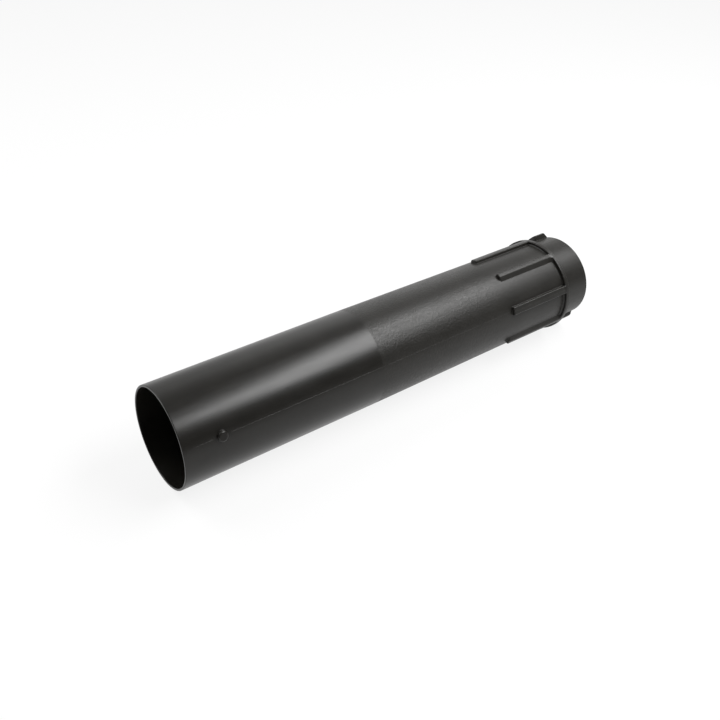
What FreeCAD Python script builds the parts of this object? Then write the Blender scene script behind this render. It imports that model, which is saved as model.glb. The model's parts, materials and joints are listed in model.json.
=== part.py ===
import FreeCAD, Part
import math
import os

# Leaf blower nozzle tube: one moulded plastic duct that lies along X.
# A plain thin mouth at the origin, a straight run, a slight taper, a ribbed grip, a flange and a
# bayonet spigot. All sizes are in millimetres and degrees.

# Driving dimensions of the duct
mouth_radius = 40.0
straight_length = 172.0
wall = 1.8
flange_position = 377.5
taper_drop = 1.1
mouth_chamfer = 0.4

# Flange and spigot
flange_lip = 0.1
flange_thickness = 4.0
flange_edge_round = 1.0
flange_foot_round = 0.9
flange_chamfer = 0.5
spigot_step = 2.1
spigot_length = 29.5
spigot_wall = 2.2
spigot_chamfer = 0.8
throat_length = 6.0

# Grip ribs
rib_count = 8
rib_length = 64.5
rib_height = 3.1
rib_foot_width = 7.2
rib_edge_round = 0.9

# Bayonet lugs on the spigot
lug_width = 11.5
lug_offset = 9.5
lug_gap = 14.0
lug_height = 5.2
lug_ramp = 5.0
lug_lead = 3.0
lug_edge_round = 1.2

# Locking pegs by the mouth
peg_position = 30.5
peg_foot_radius = 4.0
peg_height = 2.5
peg_edge_round = 1.4

# The two mould halves open along one line: ribs and lugs keep their flanks free of undercut
mould_turn = -22.5

# How far an added feature is sunk into the wall that carries it, and a rib into the flange
root_depth = 0.5 * wall
rib_overreach = 0.7 * flange_thickness

# Places along the duct
rib_start = flange_position - rib_length
flange_back = flange_position + flange_thickness
lug_start = flange_back + lug_gap
spigot_end = flange_back + spigot_length
lug_end = spigot_end - spigot_chamfer

# Radii, each a step or a height away from the one before it
taper_end_radius = mouth_radius - taper_drop
rib_top_radius = taper_end_radius + rib_height
flange_radius = rib_top_radius + flange_lip
spigot_radius = taper_end_radius - spigot_step
lug_radius = spigot_radius + lug_height
bore_radius = mouth_radius - wall
taper_bore_radius = taper_end_radius - wall
spigot_bore_radius = spigot_radius - spigot_wall

# Points nearer to each other than this are taken as one
touching = 1e-4

ALONG = FreeCAD.Vector(1, 0, 0)
ORIGIN = FreeCAD.Vector(0, 0, 0)


def profile_point(x, r):
    """Point of a turned profile: x along the duct, r from its axis."""
    return FreeCAD.Vector(x, 0, r)


def section_point(y, z):
    """Point of a cross-section of the duct."""
    return FreeCAD.Vector(0, y, z)


def corner_arc(before, corner, after, radius):
    """Tangent arc of the given radius in the corner between two straight runs."""
    to_before = (before - corner).normalize()
    to_after = (after - corner).normalize()
    half = 0.5 * to_before.getAngle(to_after)
    reach = radius / math.tan(half)
    middle = (to_before + to_after).normalize()
    crown = corner + middle * (radius / math.sin(half) - radius)
    return Part.Arc(corner + to_before * reach, crown, corner + to_after * reach)


def rounded_wire(points):
    """Closed wire through (point, corner radius) pairs, straight between the corners."""
    edges = []
    count = len(points)
    ends = []
    for i, (point, radius) in enumerate(points):
        if radius > 0:
            arc = corner_arc(points[i - 1][0], point, points[(i + 1) % count][0], radius)
            ends.append((arc.StartPoint, arc.EndPoint))
            edges.append(arc.toShape())
        else:
            ends.append((point, point))
    for i in range(count):
        start = ends[i][1]
        stop = ends[(i + 1) % count][0]
        if start.distanceToPoint(stop) > touching:
            edges.append(Part.LineSegment(start, stop).toShape())
    return Part.Wire(Part.__sortEdges__(edges))


def turned(points):
    """Solid of revolution about the duct's axis from a closed profile."""
    return Part.Face(rounded_wire(points)).revolve(ORIGIN, ALONG, 360)


def prism(corners, start, length):
    """Straight prism along the duct from the corners of a cross-section."""
    face = Part.Face(Part.makePolygon(corners + [corners[0]]))
    solid = face.extrude(ALONG * length)
    solid.translate(ALONG * start)
    return solid


def round_edges(solid, radius, wanted):
    """The solid with each edge that the test picks rounded off."""
    edges = [edge for edge in solid.Edges if wanted(edge)]
    return solid.makeFillet(radius, edges)


def distance_from_axis(point):
    return math.hypot(point.y, point.z)


def duct():
    """Turned body: mouth, straight run, taper, flange, spigot, and the bore all along it."""
    return turned([
        (profile_point(0, bore_radius), 0),
        (profile_point(0, mouth_radius - mouth_chamfer), 0),
        (profile_point(mouth_chamfer, mouth_radius), 0),
        (profile_point(straight_length, mouth_radius), 0),
        (profile_point(flange_position, taper_end_radius), flange_foot_round),
        (profile_point(flange_position, flange_radius), flange_edge_round),
        (profile_point(flange_back - flange_chamfer, flange_radius), 0),
        (profile_point(flange_back, flange_radius - flange_chamfer), 0),
        (profile_point(flange_back, spigot_radius), 0),
        (profile_point(spigot_end - spigot_chamfer, spigot_radius), 0),
        (profile_point(spigot_end, spigot_radius - spigot_chamfer), 0),
        (profile_point(spigot_end, spigot_bore_radius), 0),
        (profile_point(flange_back, spigot_bore_radius), 0),
        (profile_point(flange_back - throat_length, taper_bore_radius), 0),
        (profile_point(straight_length, bore_radius), 0),
    ])


def rib_section(angle):
    """Corners of one rib. A flank that faces the parting plane is upright, so the mould can open."""
    half = math.asin(0.5 * rib_foot_width / taper_end_radius)
    radial = section_point(math.cos(angle), math.sin(angle))
    upright = section_point(0, math.copysign(1, math.sin(angle)))
    on_slope = abs(math.sin(2 * angle)) > 0.5
    corners = []
    for side in (-1, 1):
        foot_angle = angle + side * half
        foot = section_point(math.cos(foot_angle), math.sin(foot_angle)) * taper_end_radius
        faces_parting = abs(math.sin(foot_angle)) < abs(math.sin(angle))
        lean = upright if on_slope and faces_parting else radial
        inner = foot - lean * root_depth
        outer = foot + lean * rib_height * 2
        corners += [inner, outer] if side < 0 else [outer, inner]
    return corners


def rib(angle):
    """One grip rib with a blunt start, rounded along its top."""
    length = rib_length + rib_overreach
    blank = prism(rib_section(angle), rib_start, length)
    envelope = Part.makeCylinder(rib_top_radius, length, ALONG * rib_start, ALONG)
    solid = blank.common(envelope).Solids[0]

    def on_top(edge):
        return all(abs(distance_from_axis(v.Point) - rib_top_radius) < touching for v in edge.Vertexes)

    def at_far_end(edge):
        return all(v.Point.x > rib_start + length - touching for v in edge.Vertexes)

    return round_edges(solid, rib_edge_round, lambda edge: on_top(edge) and not at_far_end(edge))


def lug():
    """Bayonet lug on the spigot: its top falls away to one side, and its far end has a sloping lead."""
    root = spigot_radius - root_depth
    envelope = turned([
        (profile_point(lug_start, root), 0),
        (profile_point(lug_start, lug_radius), 0),
        (profile_point(lug_end - lug_lead, lug_radius), 0),
        (profile_point(lug_end, spigot_radius), 0),
        (profile_point(lug_end, root), 0),
    ])
    low = lug_offset - 0.5 * lug_width
    high = lug_offset + 0.5 * lug_width
    crest = math.sqrt(lug_radius ** 2 - low ** 2)
    blank = prism(
        [section_point(low, 0), section_point(high, 0), section_point(high, crest - lug_ramp),
         section_point(low, crest)],
        lug_start, spigot_length)
    solid = blank.common(envelope).Solids[0]

    def on_top(point):
        return point.z > crest - lug_ramp - touching and point.x < lug_end - 0.5 * lug_lead

    return round_edges(solid, lug_edge_round, lambda edge: all(on_top(v.Point) for v in edge.Vertexes))


def peg():
    """Round locking peg with a softened top, on the parting plane."""
    base = mouth_radius - root_depth
    top = mouth_radius + peg_height
    face = Part.Face(rounded_wire([
        (FreeCAD.Vector(0, base, 0), 0),
        (FreeCAD.Vector(0, top, 0), 0),
        (FreeCAD.Vector(peg_foot_radius, top, 0), peg_edge_round),
        (FreeCAD.Vector(peg_foot_radius, base, 0), 0),
    ]))
    solid = face.revolve(ORIGIN, FreeCAD.Vector(0, 1, 0), 360)
    solid.translate(ALONG * peg_position)
    return solid


def turned_about_axis(solid, degrees):
    copy = solid.copy()
    copy.rotate(ORIGIN, ALONG, degrees)
    return copy


def nozzle_tube():
    """The whole moulding as one solid."""
    ribs = [rib(2 * math.pi * i / rib_count) for i in range(rib_count)]
    lugs = [turned_about_axis(lug(), half_turn) for half_turn in (0, 180)]
    pegs = [turned_about_axis(peg(), half_turn) for half_turn in (0, 180)]
    body = duct().fuse(ribs + lugs + pegs).removeSplitter()
    return turned_about_axis(body.Solids[0], mould_turn)


os.makedirs("parts", exist_ok=True)
tube = nozzle_tube()
tube.exportStep("parts/nozzle_tube.step")
print("nozzle_tube", tube.isValid(), len(tube.Solids), round(tube.Volume), tube.BoundBox)
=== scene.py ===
"""Leaf blower nozzle tube: one moulded black duct that lies along X.

It has locking pegs by its mouth, a ribbed grip, a flange and a bayonet spigot.
"""
import json
import math

import bpy
import numpy as np
from mathutils import Matrix, Vector


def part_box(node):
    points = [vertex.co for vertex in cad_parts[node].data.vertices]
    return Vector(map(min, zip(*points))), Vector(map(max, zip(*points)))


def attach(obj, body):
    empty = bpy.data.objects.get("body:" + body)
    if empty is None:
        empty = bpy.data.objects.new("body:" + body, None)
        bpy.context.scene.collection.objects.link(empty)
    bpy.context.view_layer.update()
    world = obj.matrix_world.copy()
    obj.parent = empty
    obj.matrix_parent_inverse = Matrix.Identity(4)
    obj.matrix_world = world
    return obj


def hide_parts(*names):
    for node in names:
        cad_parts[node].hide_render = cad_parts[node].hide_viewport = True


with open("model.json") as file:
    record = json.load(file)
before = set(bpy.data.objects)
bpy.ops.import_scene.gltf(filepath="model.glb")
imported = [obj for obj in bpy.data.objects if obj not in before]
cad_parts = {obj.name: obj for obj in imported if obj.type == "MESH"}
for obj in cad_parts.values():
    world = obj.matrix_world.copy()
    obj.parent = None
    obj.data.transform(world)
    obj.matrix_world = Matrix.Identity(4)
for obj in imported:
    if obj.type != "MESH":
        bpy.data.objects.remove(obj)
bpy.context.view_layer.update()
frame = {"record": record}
MM = 0.001

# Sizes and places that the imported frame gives, in metres
mounts = {mount["name"]: mount for mount in frame["record"]["mounts"]}
tube_low, tube_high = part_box("nozzle_tube")
spigot_end = tube_high.x
flange_radius = min(tube_high.y, tube_high.z)
bore_radius = mounts["mouth_bore"]["dims"]["r_mm"] * MM
straight_length = mounts["mouth_bore"]["dims"]["length_mm"] * MM
spigot_bore_radius = mounts["spigot_bore"]["dims"]["r_mm"] * MM
flange_back = mounts["flange_seat"]["pos_m"][0]
peg_place = mounts["mouth_pegs"]["pos_m"][0]

# Driving sizes of the moulding
wall = 1.8 * MM
flange_lip = 0.1 * MM
flange_thickness = 4.0 * MM
throat_length = 6.0 * MM
rib_count = 8
rib_length = 64.5 * MM
rib_height = 3.1 * MM
rib_width = 7.2 * MM
spigot_step = 2.1 * MM
spigot_chamfer = 0.8 * MM
lug_gap = 14.0 * MM
lug_height = 5.2 * MM
lug_ramp = 5.0 * MM
lug_lead = 3.0 * MM
lug_width = 11.5 * MM
lug_offset = 9.5 * MM
lug_count = 2
peg_radius = 4.0 * MM
peg_height = 2.5 * MM
peg_round = 1.4 * MM
seam_height = 0.08 * MM
seam_half_width = 0.25 * MM
grain_fade = 20.0 * MM
mould_turn = math.radians(-22.5)

# Rounds of the edges and feet
mouth_round = 0.55 * MM
crisp_round = 0.25 * MM
taper_blend = 1.5 * MM
flange_round = 1.0 * MM
flange_foot_round = 1.6 * MM
flange_back_round = 0.5 * MM
rib_round = 0.9 * MM
lug_round = 1.0 * MM
foot_round = 0.35 * MM
rib_draft = 0.1 * MM

# Places and radii that follow from them
mouth_radius = bore_radius + wall
flange_front = flange_back - flange_thickness
rib_start = flange_front - rib_length
rib_top_radius = flange_radius - flange_lip
taper_end_radius = rib_top_radius - rib_height
taper_slope = (taper_end_radius - mouth_radius) / (flange_front - straight_length)
spigot_radius = taper_end_radius - spigot_step
lug_start = flange_back + lug_gap
lug_end = spigot_end - spigot_chamfer
lug_radius = spigot_radius + lug_height

# Camera
CAMERA_PLACE = (-0.1835, -0.4368, 0.4297)
CAMERA_AIM = (0.2143, 0.1019, 0.0)
CAMERA_ROLL = 2.3
CAMERA_LENS = 43.7
CAMERA_SHIFT = (0.0509, -0.1039)
CAMERA_SENSOR = 36.0

# Room: brightness by how far back a direction points, and its rise towards the tube's far end
ROOM_LEVELS = [(0.0, 0.16), (0.5, 0.28), (0.62, 0.36), (0.76, 0.7), (0.87, 1.2), (0.95, 0.9), (1.0, 0.8)]
ROOM_FAR_END = (0.28, 0.6, 0.85, 1.3)

# Lamps: direction, turn of the long side, distance, size and brightness
KEY_TOWARD = (0.6, -0.4, 1.0)
KEY_ALONG = (0.5, 0.87, 0.0)
KEY_DISTANCE = 1.23
KEY_SIZE = (1.12, 0.46)
KEY_BRIGHTNESS = 11.6
EDGE_TOWARD = (-0.47, 0.53, 0.7)
EDGE_ALONG = (0.0, 1.0, 0.0)
EDGE_DISTANCE = 1.2
EDGE_SIZE = (0.6, 0.6)
EDGE_BRIGHTNESS = 4.0

# Floor
FLOOR_GLOW = 0.85
FLOOR_TONE = (0.86, 0.86, 0.86, 1)
FLOOR_HALF = 3.0
FLOOR_LINES = 13
WHITE = (1, 1, 1, 1)

# Finish of the plastic: dark and light tones, roughness, what dullness adds to it, and the relief
SMOOTH_TONES = ((0.0065, 0.0058, 0.0044, 1), (0.01, 0.0092, 0.0074, 1))
DULL_TONES = ((0.0085, 0.0077, 0.006, 1), (0.0125, 0.0115, 0.0094, 1))
SMOOTH_ROUGHNESS = (0.28, 0.33)
ADDED_ROUGHNESS = (0.07, 0.15)
GRAIN_GLOSS = 0.1
SPARKLE = 0.07
DUST_SHARE = 0.015
RELIEF_DEPTH = 0.2 * MM
PLASTIC_IOR = 1.4

# Noise in the finish: lumps to the metre, steps of finer detail and the weight of each step
STREAKS = (260.0, 3.0, 0.6)
MOTTLES = (45.0, 4.0, 0.6)
PEBBLES = (700.0, 2.0, 0.55)
DUST = (2600.0, 2.0, 0.5)
STREAK_STRETCH = (0.12, 1.0, 1.0)
GRAINS_PER_METRE = 1100.0
NOISE_SPAN = (0.3, 0.7)
MOTTLE_SPAN = (0.35, 0.65)

# How finely the skin is sampled: points of a corner's arc, and lines on each kind of run
CORNER_POINTS = 5
FACE_LINES = 1
RIM_LINES = 2
RIB_LINES = 8
RUN_LINES = 9
BORE_LINES = 8
PANEL_LINES = 13
LUG_TOP_LINES = 6
SEAM_LINES = 7
PEG_BLOCK = 7.5 * MM
PEG_LINES = 13
PEG_FLOOR_RINGS = (0.3, 0.6, 0.85)
PEG_CAP_RINGS = (0.66, 0.33)

# The turn in radians below which two lines count as one, and a length that counts as none
LEAST_TURN = 0.0004
TOUCHING = 1e-9


def unit(vectors):
    """Each vector divided by its own length."""
    return vectors / np.linalg.norm(vectors, axis=-1, keepdims=True)


def even(count):
    """Stops that split a run into equal lengths."""
    return np.arange(1, count + 1) / (count + 1)


def rounded_outline(corners, stops, period=(0.0, 0.0)):
    """Points and unit tangents of a closed outline with round corners.

    A corner row is (place, place, setback). Its arc is the rational quadratic curve that leaves the straight
    one setback before the corner and meets the next a setback after it, with the sine of half the corner's
    angle as its middle weight, which makes it circular. Each run is sampled at its stops. An outline that
    repeats has a period, the vector from its first corner to the same corner one turn on.
    """
    corners = np.asarray(corners, float)
    place = corners[:, :2]
    setback = corners[:, 2:]
    before = np.vstack([place[-1:] - period, place[:-1]])
    after = np.vstack([place[1:], place[:1] + period])
    backward = unit(before - place)
    forward = unit(after - place)
    leave = place + backward * setback
    meet = place + forward * setback
    weight = np.sqrt(0.5 - 0.5 * (backward * forward).sum(1))[:, None, None]
    part = np.linspace(0.0, 1.0, CORNER_POINTS)[None, :, None]
    rest = 1 - part
    corner = place[:, None]
    lead_weight = rest + part * weight
    trail_weight = rest * weight + part
    lead = (rest * leave[:, None] + part * weight * corner) / lead_weight
    trail = (rest * weight * corner + part * meet[:, None]) / trail_weight
    share = part * trail_weight / (rest * lead_weight + part * trail_weight)
    arcs = lead + share * (trail - lead)
    arc_tangents = unit(trail - lead)
    next_leave = np.vstack([leave[1:], leave[:1] + period])
    points = []
    tangents = []
    for arc, arc_tangent, start, stop, run in zip(arcs, arc_tangents, meet, next_leave, stops):
        points += [arc, start + run[:, None] * (stop - start)]
        tangents += [arc_tangent, np.tile(unit(stop - start), (len(run), 1))]
    return np.vstack(points), np.vstack(tangents)


def taper_radius(x):
    """Radius of the tapered run: a straight line from the mouth's radius to the flange's foot."""
    return mouth_radius + taper_slope * (x - straight_length)


def duct_corners(on_rib, on_lug):
    """Corners of the duct's lengthwise outline, out along its outside and back through its bore.

    The same corners serve between the ribs, along a rib and along a lug, so the three outlines match
    point by point and the skin can pass from one to the other.
    """
    rib_foot = (rib_start, taper_radius(rib_start), foot_round)
    if on_rib:
        rib_rows = [
            rib_foot,
            (rib_start + rib_draft, rib_top_radius, rib_round),
            (flange_front - flange_foot_round, rib_top_radius, flange_foot_round / 2),
            (flange_front + flange_round, flange_radius, flange_round / 2),
        ]
    else:
        panel_start = rib_start + 2 * rib_round
        rib_rows = [
            rib_foot,
            (panel_start, taper_radius(panel_start), rib_round),
            (flange_front, taper_end_radius, flange_foot_round),
            (flange_front, flange_radius, flange_round),
        ]
    top = lug_radius if on_lug else spigot_radius
    face = rib_draft if on_lug else 2 * lug_round
    lug_rows = [
        (lug_start, spigot_radius, foot_round),
        (lug_start + face, top, lug_round),
        (lug_end - lug_lead, top, lug_round),
        (lug_end, spigot_radius, foot_round),
    ]
    return [
        (0.0, bore_radius, mouth_round),
        (0.0, mouth_radius, mouth_round),
        (straight_length, mouth_radius, taper_blend),
        *rib_rows,
        (flange_back, flange_radius, flange_back_round),
        (flange_back, spigot_radius, foot_round),
        *lug_rows,
        (spigot_end, spigot_radius - spigot_chamfer, crisp_round),
        (spigot_end, spigot_bore_radius, crisp_round),
        (flange_back, spigot_bore_radius, crisp_round),
        (flange_back - throat_length, taper_end_radius - wall, crisp_round),
        (straight_length, bore_radius, taper_blend),
    ]


def duct_stops():
    """Stops of the outline's runs, in the order of its corners.

    The straight run has its own lines: close ones round the pegs, then wider ones up to the taper.
    """
    run_start = mouth_round
    run_end = straight_length - taper_blend
    peg_lines = peg_place + np.linspace(-PEG_BLOCK, PEG_BLOCK, PEG_LINES)
    beyond = peg_lines[-1] + even(RUN_LINES) * (run_end - peg_lines[-1])
    lines = np.concatenate([[0.5 * (run_start + peg_lines[0])], peg_lines, beyond])
    straight = (lines - run_start) / (run_end - run_start)
    face = even(FACE_LINES)
    rim = even(RIM_LINES)
    taper = even(RUN_LINES)
    rib_runs = [face, even(RIB_LINES), face, rim]
    lug_runs = [face, rim, face, face]
    bore_runs = [face, rim, face, taper, even(BORE_LINES)]
    return [face, straight, taper, *rib_runs, rim, rim, *lug_runs, *bore_runs]


def rib_contour():
    """The ribs unrolled round the grip: angles, shares of the rib's height, and how the skin leans.

    The outline is arc length at the panel's radius against height above it. A flank leans straight out
    along its rib. On the slopes between the mould's parting plane and its draw line, the flank that faces
    the parting plane runs along the draw instead, so its distance from the draw line is kept from foot to
    top.
    """
    corners = []
    stops = []
    half = math.asin(0.5 * rib_width / taper_end_radius)
    top_half = math.asin(0.5 * rib_width / rib_top_radius)
    for k in range(rib_count):
        angle = 2 * math.pi * k / rib_count
        on_slope = abs(math.sin(2 * angle)) > 0.5
        tops = []
        for side in (-1, 1):
            foot = angle + side * half
            top = angle + side * top_half
            if on_slope and abs(math.sin(foot)) < abs(math.sin(angle)):
                upright = math.acos(taper_end_radius * math.cos(foot) / rib_top_radius)
                top = upright if math.sin(angle) > 0 else 2 * math.pi - upright
            tops.append(top)
        low_foot, high_foot = angle - half, angle + half
        rows = [(low_foot, 0.0, foot_round), (tops[0], rib_height, rib_round),
                (tops[1], rib_height, rib_round), (high_foot, 0.0, foot_round)]
        corners += [(at * taper_end_radius, height, setback) for at, height, setback in rows]
        stops += [even(FACE_LINES), even(RIM_LINES), even(FACE_LINES), even(PANEL_LINES)]
    turn = np.array([2 * math.pi * taper_end_radius, 0.0])
    points, tangents = rounded_outline(corners, stops, turn)
    lean = np.arctan2(tangents[:, 1], tangents[:, 0])
    return points[:, 0] / taper_end_radius, points[:, 1] / rib_height, lean


def lug_contour():
    """The lugs unrolled round the spigot: angles, shares of the lug's height, and how the skin leans.

    The outline is arc length at the spigot's radius against height above it. A lug is a block whose sides
    run along the mould's draw, so a side keeps its distance from the draw line. Its top falls away to the
    far side by the ramp.
    """
    near = lug_offset - 0.5 * lug_width
    far = lug_offset + 0.5 * lug_width
    far_top = math.sqrt(lug_radius ** 2 - near ** 2) - lug_ramp
    sides = [
        (math.acos(far / spigot_radius), 0.0, foot_round),
        (math.atan2(far_top, far), math.hypot(far, far_top) - spigot_radius, lug_round),
        (math.acos(near / spigot_radius) - rib_draft / lug_radius, lug_height, lug_round),
        (math.acos(near / spigot_radius), 0.0, foot_round),
    ]
    corners = []
    stops = []
    for k in range(lug_count):
        turn = 2 * math.pi * k / lug_count
        corners += [((at + turn) * spigot_radius, height, setback) for at, height, setback in sides]
        stops += [even(FACE_LINES), even(LUG_TOP_LINES), even(FACE_LINES), even(FACE_LINES)]
    turn = np.array([2 * math.pi * spigot_radius, 0.0])
    points, tangents = rounded_outline(corners, stops, turn)
    lean = np.arctan2(tangents[:, 1], tangents[:, 0])
    return points[:, 0] / spigot_radius, points[:, 1] / lug_height, lean


def seam_shape(angle):
    """Ridge of the parting line and its slope: a raised cosine across the seam, on both sides."""
    across = np.arctan2(np.sin(2 * angle), np.cos(2 * angle)) / 2 * mouth_radius
    inside = np.abs(across) < seam_half_width
    phase = math.pi * across / seam_half_width
    ridge = np.where(inside, 0.5 + 0.5 * np.cos(phase), 0.0)
    slope = np.where(inside, -0.5 * math.pi / seam_half_width * np.sin(phase), 0.0)
    return seam_height * ridge, seam_height * slope


def column_angles(*contours):
    """Angles of the skin's lengthwise lines: each contour's own and the seam's, in order, none twice."""
    seam = np.linspace(-1, 1, SEAM_LINES) * seam_half_width / mouth_radius
    angles = np.concatenate([*contours, seam, math.pi + seam])
    angles = np.sort((angles + 0.5 * math.pi) % (2 * math.pi) - 0.5 * math.pi)
    apart = np.diff(angles, prepend=angles[-1] - 2 * math.pi)
    return angles[apart > LEAST_TURN]


def peg_patch(angle, loop_x, loop_angle, loop_seam):
    """Points and normals of one peg, ring by ring from the edge of its block inwards, and its centre.

    The first rings lie on the tube and pass from the block's edge to a circle. A concave quarter arc, a
    short side and a convex quarter arc lift the circle to the flat top. Axes: along the tube, round it, out.
    """
    along = loop_x - peg_place
    across = mouth_radius * np.sin(loop_angle - angle)
    polar = np.arctan2(across, along)
    ring = np.stack([np.cos(polar), np.sin(polar)])
    top = mouth_radius + peg_height

    share = np.array(PEG_FLOOR_RINGS)[:, None, None]
    floor_edge = (1 - share) * np.stack([along, across]) + share * (peg_radius + foot_round) * ring
    lift = np.linspace(0.0, 0.5 * math.pi, CORNER_POINTS)[:, None]
    foot_radius = peg_radius + foot_round * (1 - np.sin(lift))
    foot_rise = foot_round * (1 - np.cos(lift))
    crown_radius = peg_radius - peg_round * (1 - np.cos(lift))
    crown_out = top - peg_round * (1 - np.sin(lift))
    cap_radius = np.array(PEG_CAP_RINGS)[:, None] * (peg_radius - peg_round)

    flat = np.concatenate([floor_edge, foot_radius[:, :, None] * ring, crown_radius[:, :, None] * ring,
                           cap_radius[:, :, None] * ring])
    on_tube = np.sqrt(mouth_radius ** 2 - flat[:, 1] ** 2)
    count = len(share)
    ends = count + CORNER_POINTS
    out = np.full_like(on_tube, top)
    out[:count] = on_tube[:count] + loop_seam
    out[count:ends] = on_tube[count:ends] + foot_rise
    out[ends:ends + CORNER_POINTS] = crown_out

    lean = np.zeros(len(out))
    lean[count:ends] = np.sin(lift[:, 0])
    lean[ends:ends + CORNER_POINTS] = np.cos(lift[:, 0])
    lean = np.broadcast_to(lean[:, None], out.shape)
    upward = np.stack([np.zeros_like(out), flat[:, 1] / mouth_radius, on_tube / mouth_radius], 2)
    upward[ends:] = (0.0, 0.0, 1.0)
    sideways = np.broadcast_to(np.append(ring, np.zeros((1, ring.shape[1])), 0).T, upward.shape)
    facing = unit(np.sqrt(1 - lean[..., None] ** 2) * upward + lean[..., None] * sideways)

    points = np.stack([peg_place + flat[:, 0], flat[:, 1], out], 2).reshape(-1, 3)
    points = np.vstack([points, (peg_place, 0.0, top)])
    facing = np.vstack([facing.reshape(-1, 3), (0.0, 0.0, 1.0)])
    return turn_out(points, angle), turn_out(facing, angle), len(flat)


def turn_out(vectors, angle):
    """Vectors along, round and out at an angle of the mould, turned into the tube's own frame."""
    angle = angle + mould_turn
    along, across, out = vectors.T
    y = out * math.cos(angle) - across * math.sin(angle)
    z = out * math.sin(angle) + across * math.cos(angle)
    return np.stack([along, y, z], 1)


def moulded_skin():
    """Vertices, normals, faces and finish of the whole moulding as one closed skin.

    The skin is a grid of outline points by lengthwise lines. On each line it is the outline between the
    ribs, plus the rib's share of the step to the rib's outline, plus the lug's share of the step to the
    lug's outline, plus the seam's ridge. A normal is the cross product of the tangent round the tube and the
    tangent along it. Round each peg a block of the grid gives way to a patch of rings. The finish is how
    dull and how grained the skin is: both begin with the taper, and the grain fades out before the ribs.
    """
    stops = duct_stops()
    panel, panel_tangent = rounded_outline(duct_corners(False, False), stops)
    ribbed, ribbed_tangent = rounded_outline(duct_corners(True, False), stops)
    lugged, lugged_tangent = rounded_outline(duct_corners(False, True), stops)
    rib_angle, rib_share, rib_lean = rib_contour()
    lug_angle, lug_share, lug_lean = lug_contour()
    angle = column_angles(rib_angle, lug_angle)
    turn = 2 * math.pi
    on_rib = np.interp(angle, rib_angle, rib_share, period=turn)
    on_lug = np.interp(angle, lug_angle, lug_share, period=turn)
    lean_rib = np.interp(angle, rib_angle, rib_lean, period=turn)
    lean_lug = np.interp(angle, lug_angle, lug_lean, period=turn)
    ridge, ridge_slope = seam_shape(angle)

    rib_step = (ribbed - panel)[:, None]
    lug_step = (lugged - panel)[:, None]
    share_rib = on_rib[None, :, None]
    share_lug = on_lug[None, :, None]
    outside = panel_tangent[:, 0] > 0.5
    seamed = outside & (panel[:, 0] > mouth_round) & (ribbed[:, 0] < flange_front - flange_foot_round)
    grid = panel[:, None] + share_rib * rib_step + share_lug * lug_step
    grid[..., 1] += seamed[:, None] * ridge
    along = (panel_tangent[:, None] + share_rib * (ribbed_tangent - panel_tangent)[:, None]
             + share_lug * (lugged_tangent - panel_tangent)[:, None])

    has_rib = np.abs(rib_step).sum(2) > TOUCHING
    has_lug = np.abs(lug_step).sum(2) > TOUCHING
    lean = has_rib * lean_rib + has_lug * lean_lug
    rise = np.sin(lean)[..., None] * (rib_step / rib_height + lug_step / lug_height)
    rise[..., 1] += seamed[:, None] * ridge_slope
    sweep = np.cos(lean)
    facing = np.stack([-along[..., 1] * sweep, along[..., 1] * rise[..., 0] - along[..., 0] * rise[..., 1],
                       along[..., 0] * sweep], 2)
    rows, columns = sweep.shape
    world_angle = angle + mould_turn
    cos, sin = np.cos(world_angle), np.sin(world_angle)
    points = np.stack([grid[..., 0], grid[..., 1] * cos, grid[..., 1] * sin], 2).reshape(-1, 3)
    normals = np.stack([facing[..., 0], facing[..., 2] * cos - facing[..., 1] * sin,
                        facing[..., 2] * sin + facing[..., 1] * cos], 2).reshape(-1, 3)
    dulled = outside & (panel[:, 0] > straight_length)
    faded = np.interp(panel[:, 0], [rib_start - grain_fade, rib_start], [1.0, 0.0])
    finish = np.repeat(np.stack([dulled, dulled * faded], 1).astype(float), columns, 0)

    index = np.arange(rows * columns).reshape(rows, columns)
    keep = np.ones((rows, columns), bool)
    parts = [points]
    facings = [normals]
    finishes = [finish]
    quads = []
    fans = []
    total = len(points)
    peg_rows = np.flatnonzero(outside & (np.abs(panel[:, 0] - peg_place) < PEG_BLOCK + TOUCHING))
    first, last = peg_rows[0], peg_rows[-1]
    for pole in (0.0, math.pi):
        inside = np.flatnonzero(np.abs(angle - pole) * mouth_radius < PEG_BLOCK)
        left, right = inside[0], inside[-1]
        keep[first:last, left:right] = False
        row, column = block_edge(first, last, left, right)
        count = len(row)
        patch, patch_facing, rings = peg_patch(pole, grid[row, column, 0], angle[column], ridge[column])
        patch_index = total + np.arange(rings * count).reshape(rings, count)
        ring_index = np.vstack([index[row, column][None], patch_index])
        following = np.roll(ring_index, -1, axis=1)
        around = np.stack([ring_index[:-1], following[:-1], following[1:], ring_index[1:]], 2)
        quads.append(around.reshape(-1, 4))
        centre = np.full(count, total + rings * count)
        fans.append(np.stack([ring_index[-1], following[-1], centre], 1))
        parts.append(patch)
        facings.append(patch_facing)
        finishes.append(np.zeros((len(patch), 2)))
        total += len(patch)
    down = np.roll(index, -1, axis=0)
    across = np.roll(index, -1, axis=1)
    both = np.roll(down, -1, axis=1)
    quads.append(np.stack([index, across, both, down], 2)[keep])
    faces = (np.vstack(quads), np.vstack(fans))
    return np.vstack(parts), unit(np.vstack(facings)), faces, np.vstack(finishes)


def block_edge(first, last, left, right):
    """Rows and columns of a block's edge in the grid, once round it, counter-clockwise from outside."""
    down = np.arange(first, last)
    over = np.arange(left, right)
    rows = np.concatenate([np.full(len(over), first), down, np.full(len(over), last), down[::-1] + 1])
    columns = np.concatenate([over, np.full(len(down), right), over[::-1] + 1, np.full(len(down), left)])
    return rows, columns


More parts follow.
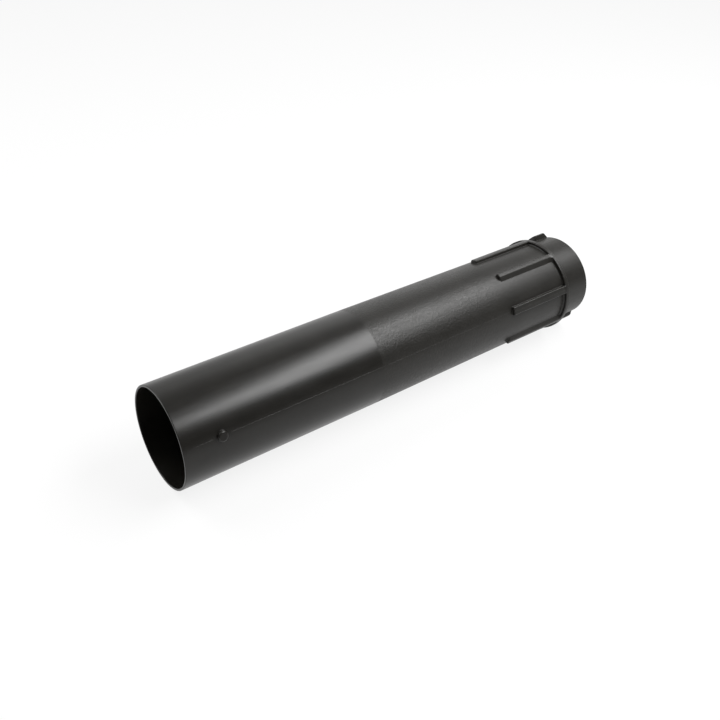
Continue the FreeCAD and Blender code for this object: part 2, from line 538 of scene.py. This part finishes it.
def tube_piece():
    """The skin as a mesh with smooth shading, its own normals and its finish, less the unused points."""
    points, normals, (quads, fans), finish = moulded_skin()
    used = np.zeros(len(points), bool)
    used[quads.ravel()] = True
    used[fans.ravel()] = True
    number = np.cumsum(used) - 1
    mesh = bpy.data.meshes.new("moulded_tube")
    mesh.from_pydata(points[used].tolist(), [], number[quads].tolist() + number[fans].tolist())
    mesh.shade_smooth()
    for name, share in zip(("dull", "grain"), finish[used].T.astype(np.float32)):
        mesh.attributes.new(name, "FLOAT", "POINT").data.foreach_set("value", share)
    mesh.normals_split_custom_set_from_vertices(normals[used].tolist())
    mesh.update()
    piece = bpy.data.objects.new("moulded_tube", mesh)
    bpy.context.scene.collection.objects.link(piece)
    return piece


class Nodes:
    """Short calls for adding and joining the nodes of one tree."""

    def __init__(self, tree):
        self.tree = tree
        tree.nodes.clear()

    def add(self, kind, **sockets):
        """A new node with values or links for its inputs, by socket name with spaces as underscores."""
        node = self.tree.nodes.new(kind)
        for name, value in sockets.items():
            self.put(node.inputs[name.replace("_", " ")], value)
        return node

    def put(self, socket, value):
        """A link where the value is another node's output, otherwise the socket's own value."""
        if isinstance(value, bpy.types.NodeSocket):
            self.tree.links.new(value, socket)
        else:
            socket.default_value = value

    def attribute(self, name):
        """A value that the mesh carries at its points."""
        node = self.tree.nodes.new("ShaderNodeAttribute")
        node.attribute_name = name
        return node.outputs["Fac"]

    def noise(self, place, scale, detail, weight):
        """Soft noise of a given number of lumps to the metre."""
        node = self.add("ShaderNodeTexNoise", Vector=place, Scale=scale, Detail=detail, Roughness=weight)
        return node.outputs[0]

    def math(self, operation, first, second):
        """A sum, product or the like of two inputs."""
        node = self.tree.nodes.new("ShaderNodeMath")
        node.operation = operation
        self.put(node.inputs[0], first)
        self.put(node.inputs[1], second)
        return node.outputs[0]

    def blend(self, share, first, second):
        """A colour part of the way from the first to the second, by the node's colour sockets."""
        node = self.tree.nodes.new("ShaderNodeMix")
        node.data_type = "RGBA"
        self.put(node.inputs["Factor"], share)
        self.put(node.inputs[6], first)
        self.put(node.inputs[7], second)
        return node.outputs[2]

    def spread(self, value, low, high, to_low, to_high):
        """A value moved from one range to another, held at its ends."""
        node = self.add("ShaderNodeMapRange", Value=value)
        for name, number in zip(("From Min", "From Max", "To Min", "To Max"), (low, high, to_low, to_high)):
            node.inputs[name].default_value = number
        return node.outputs[0]


def seen_rays(nodes):
    """One for rays from the camera, a reflection or a clear body, nought for diffuse light."""
    path = nodes.add("ShaderNodeLightPath")
    seen = nodes.math("MAXIMUM", path.outputs["Is Camera Ray"], path.outputs["Is Glossy Ray"])
    return nodes.math("MAXIMUM", seen, path.outputs["Is Transmission Ray"])


def moulded_black():
    """Satin black plastic with faint flow streaks and mottling, duller from the taper on.

    Along the taper it has a low pebble relief, and each grain there has a gloss of its own.
    """
    material = bpy.data.materials.new("satin_black_plastic")
    material.use_nodes = True
    nodes = Nodes(material.node_tree)
    place = nodes.add("ShaderNodeTexCoord").outputs["Object"]
    drawn = nodes.add("ShaderNodeMapping", Vector=place, Scale=STREAK_STRETCH).outputs[0]
    streak = nodes.noise(drawn, *STREAKS)
    mottle = nodes.noise(place, *MOTTLES)
    pebble = nodes.noise(place, *PEBBLES)
    dust = nodes.noise(place, *DUST)
    sand = nodes.add("ShaderNodeTexVoronoi", Vector=place, Scale=GRAINS_PER_METRE).outputs["Color"]
    dull = nodes.attribute("dull")
    grain = nodes.attribute("grain")

    shade = nodes.spread(mottle, *MOTTLE_SPAN, 0.0, 1.0)
    tone = nodes.blend(dull, nodes.blend(shade, *SMOOTH_TONES), nodes.blend(shade, *DULL_TONES))
    smooth_rough = nodes.spread(streak, *NOISE_SPAN, *SMOOTH_ROUGHNESS)
    satin = nodes.math("SUBTRACT", dull, nodes.math("MULTIPLY", grain, GRAIN_GLOSS))
    dull_rough = nodes.math("MULTIPLY", satin, nodes.spread(pebble, *NOISE_SPAN, *ADDED_ROUGHNESS))
    sparkle = nodes.math("MULTIPLY", grain, nodes.spread(sand, 0.0, 1.0, -SPARKLE, SPARKLE))
    rough = nodes.math("ADD", nodes.math("ADD", smooth_rough, dull_rough), sparkle)
    pebbled = nodes.math("MULTIPLY", nodes.spread(pebble, 0.0, 1.0, -0.5, 0.5), grain)
    relief = nodes.math("ADD", pebbled, nodes.math("MULTIPLY", dust, DUST_SHARE))
    bump = nodes.add("ShaderNodeBump", Height=relief, Strength=1.0, Distance=RELIEF_DEPTH).outputs[0]
    shader = nodes.add("ShaderNodeBsdfPrincipled", Base_Color=tone, Roughness=rough, Normal=bump,
                       IOR=PLASTIC_IOR)
    nodes.add("ShaderNodeOutputMaterial", Surface=shader.outputs[0])
    return material


def pale_floor():
    """Wide white floor under the tube: a flat grid, pale by its own colour and brighter where it is seen."""
    step = np.linspace(-FLOOR_HALF, FLOOR_HALF, FLOOR_LINES)
    x, y = np.meshgrid(step + 0.5 * spigot_end, step, indexing="ij")
    points = np.stack([x, y, np.full_like(x, tube_low.z)], 2).reshape(-1, 3)
    index = np.arange(points.shape[0]).reshape(x.shape)
    quads = np.stack([index[:-1, :-1], index[1:, :-1], index[1:, 1:], index[:-1, 1:]], 2).reshape(-1, 4)
    mesh = bpy.data.meshes.new("studio_floor")
    mesh.from_pydata(points.tolist(), [], quads.tolist())
    material = bpy.data.materials.new("white_studio_floor")
    material.use_nodes = True
    nodes = Nodes(material.node_tree)
    paper = nodes.add("ShaderNodeBsdfDiffuse", Color=FLOOR_TONE).outputs[0]
    glow = nodes.add("ShaderNodeEmission", Color=WHITE, Strength=1.0).outputs[0]
    share = nodes.math("MULTIPLY", seen_rays(nodes), FLOOR_GLOW)
    mixed = nodes.tree.nodes.new("ShaderNodeMixShader")
    nodes.put(mixed.inputs[0], share)
    nodes.put(mixed.inputs[1], paper)
    nodes.put(mixed.inputs[2], glow)
    nodes.add("ShaderNodeOutputMaterial", Surface=mixed.outputs[0])
    mesh.materials.append(material)
    floor = bpy.data.objects.new("studio_floor", mesh)
    bpy.context.scene.collection.objects.link(floor)


def studio_room():
    """Surroundings by direction: a white wall behind the tube, a grey ceiling and a darker room in front.

    All of it is a little brighter towards the tube's far end.
    """
    world = bpy.data.worlds.new("studio_room")
    world.use_nodes = True
    nodes = Nodes(world.node_tree)
    direction = nodes.add("ShaderNodeTexCoord").outputs["Generated"]
    facing = nodes.add("ShaderNodeSeparateXYZ", Vector=direction)
    shade = nodes.tree.nodes.new("ShaderNodeValToRGB")
    nodes.put(shade.inputs[0], nodes.spread(facing.outputs["Y"], -1.0, 1.0, 0.0, 1.0))
    steps = shade.color_ramp.elements
    for place, _ in ROOM_LEVELS[1:-1]:
        steps.new(place)
    for step, (place, level) in zip(steps, ROOM_LEVELS):
        step.position = place
        step.color = (level, level, level, 1)
    far_end = nodes.spread(facing.outputs["X"], *ROOM_FAR_END)
    room = nodes.add("ShaderNodeBackground", Color=shade.outputs[0], Strength=far_end)
    nodes.add("ShaderNodeOutputWorld", Surface=room.outputs[0])
    bpy.context.scene.world = world


def softbox(name, toward, along, distance, size, brightness):
    """Rectangular lamp in one direction from the tube's middle, facing it, its long side turned one way.

    Brightness is against white: the power spread over the lamp's face and the half space before it.
    """
    lamp = bpy.data.lights.new(name, "AREA")
    lamp.shape = "RECTANGLE"
    lamp.size, lamp.size_y = size
    lamp.energy = brightness * math.pi * size[0] * size[1]
    holder = bpy.data.objects.new(name, lamp)
    outward = Vector(toward).normalized()
    across = outward.cross(Vector(along)).normalized()
    turn = Matrix((across.cross(outward), across, outward)).transposed().to_4x4()
    middle = Vector((0.5 * spigot_end, 0.0, 0.0))
    holder.matrix_world = Matrix.Translation(middle + outward * distance) @ turn
    bpy.context.scene.collection.objects.link(holder)


def photo_camera():
    """Camera at the photograph's place: a point it stands at, a point it looks at and a slight roll."""
    camera = bpy.data.cameras.new("photo_camera")
    camera.lens = CAMERA_LENS
    camera.sensor_width = CAMERA_SENSOR
    camera.shift_x, camera.shift_y = CAMERA_SHIFT
    holder = bpy.data.objects.new("photo_camera", camera)
    place = Vector(CAMERA_PLACE)
    look = (Vector(CAMERA_AIM) - place).to_track_quat("-Z", "Y").to_matrix().to_4x4()
    roll = Matrix.Rotation(math.radians(CAMERA_ROLL), 4, "Z")
    holder.matrix_world = Matrix.Translation(place) @ look @ roll
    bpy.context.scene.collection.objects.link(holder)
    bpy.context.scene.camera = holder


tube = tube_piece()
tube.data.materials.append(moulded_black())
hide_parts("nozzle_tube")
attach(tube, "root")
pale_floor()
studio_room()
softbox("overhead_softbox", KEY_TOWARD, KEY_ALONG, KEY_DISTANCE, KEY_SIZE, KEY_BRIGHTNESS)
softbox("edge_softbox", EDGE_TOWARD, EDGE_ALONG, EDGE_DISTANCE, EDGE_SIZE, EDGE_BRIGHTNESS)
photo_camera()
bpy.context.scene.view_settings.view_transform = "Standard"
